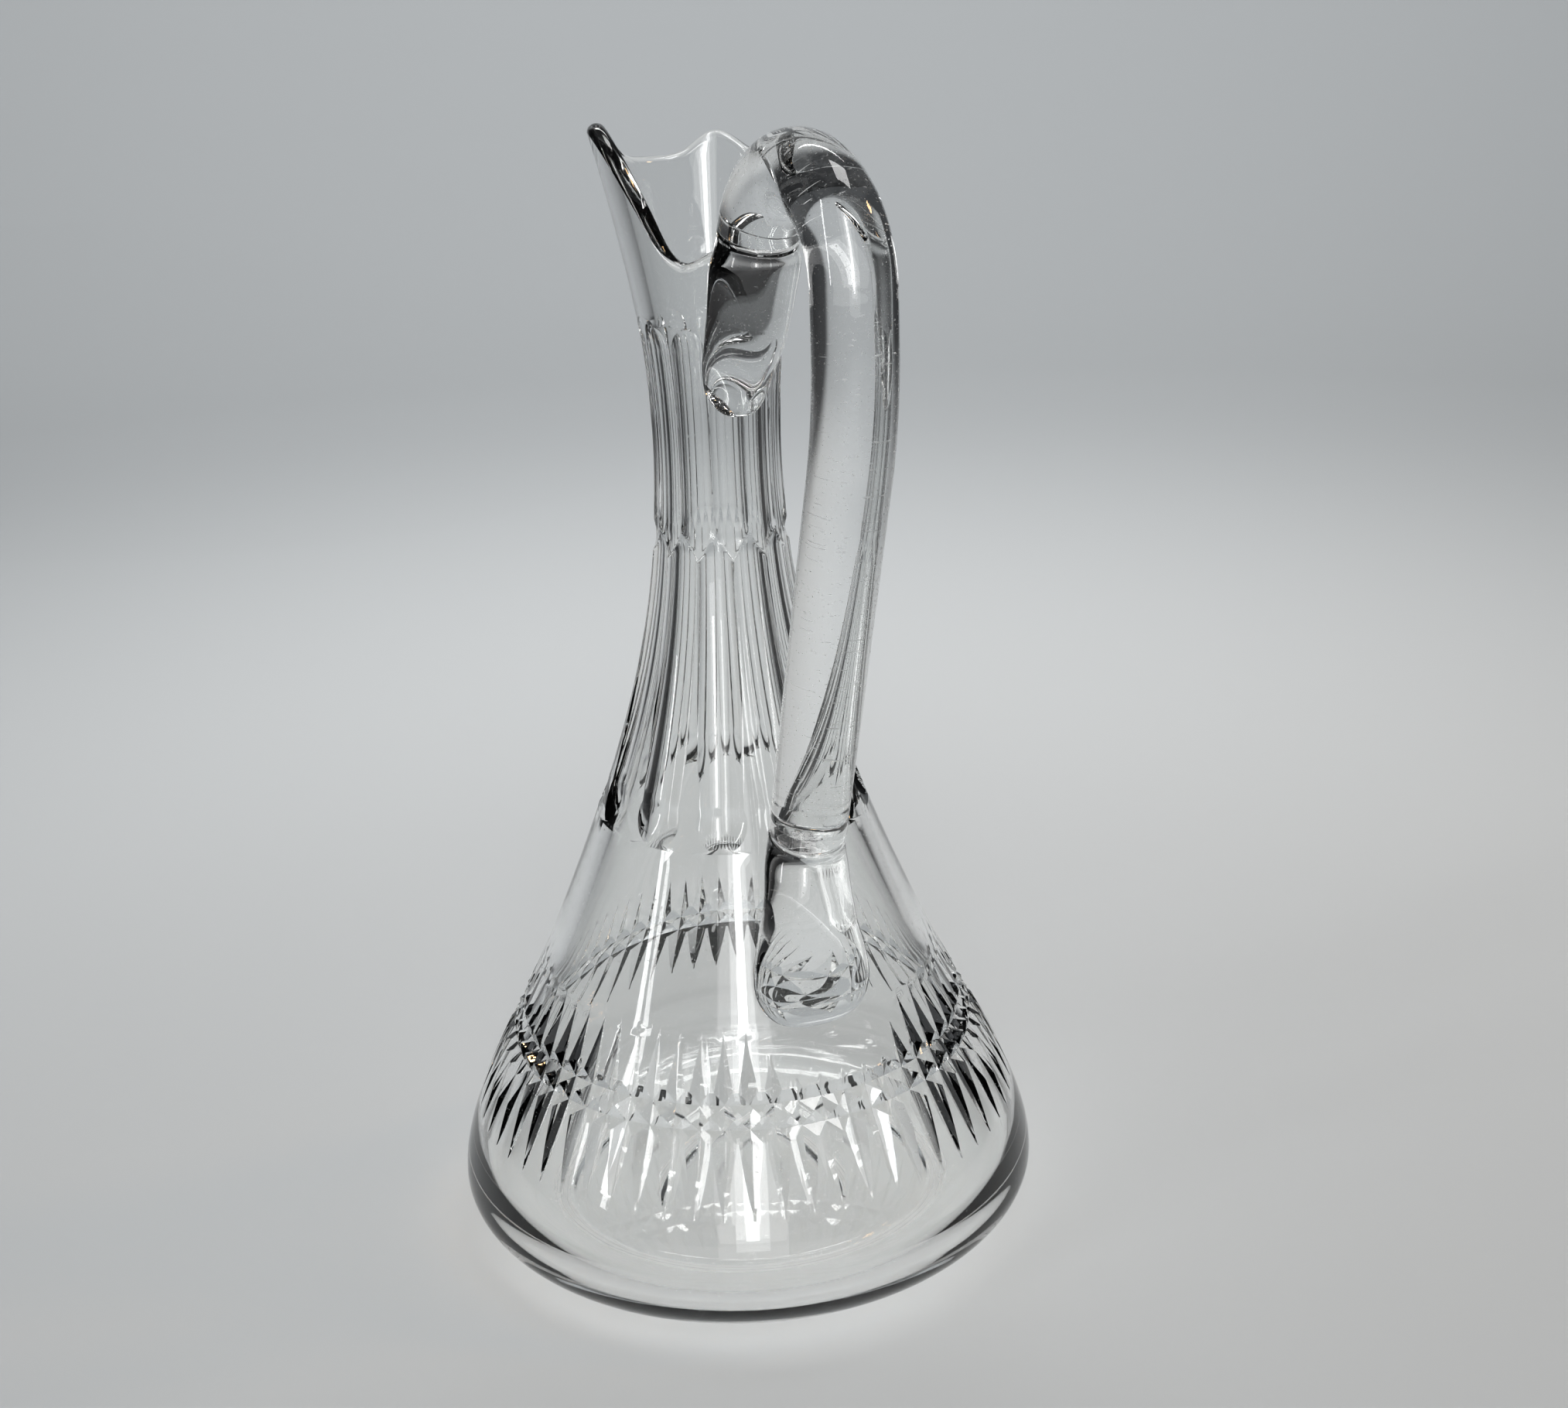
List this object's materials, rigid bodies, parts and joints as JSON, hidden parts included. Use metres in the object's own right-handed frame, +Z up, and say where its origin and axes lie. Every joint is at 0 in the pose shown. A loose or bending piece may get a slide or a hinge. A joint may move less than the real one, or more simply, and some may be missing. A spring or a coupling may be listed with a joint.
{
  "type": "handled carafe",
  "caption": "Clear cut-crystal carafe: wide low bowl, long fluted neck, lobed pouring lip and an applied loop handle.",
  "frame": {"origin": "centre of the flat ground base", "axes": "+Z up through the neck, +X towards the handle"},
  "size_m": [0.1557, 0.15, 0.283],
  "materials": {
    "crystal": "clear, cut and polished"
  },
  "bodies": {
    "root": {"carafe_body": "crystal", "handle_rod": "crystal", "handle_foot": "crystal", "handle_tail": "crystal"}
  },
  "joints": []
}
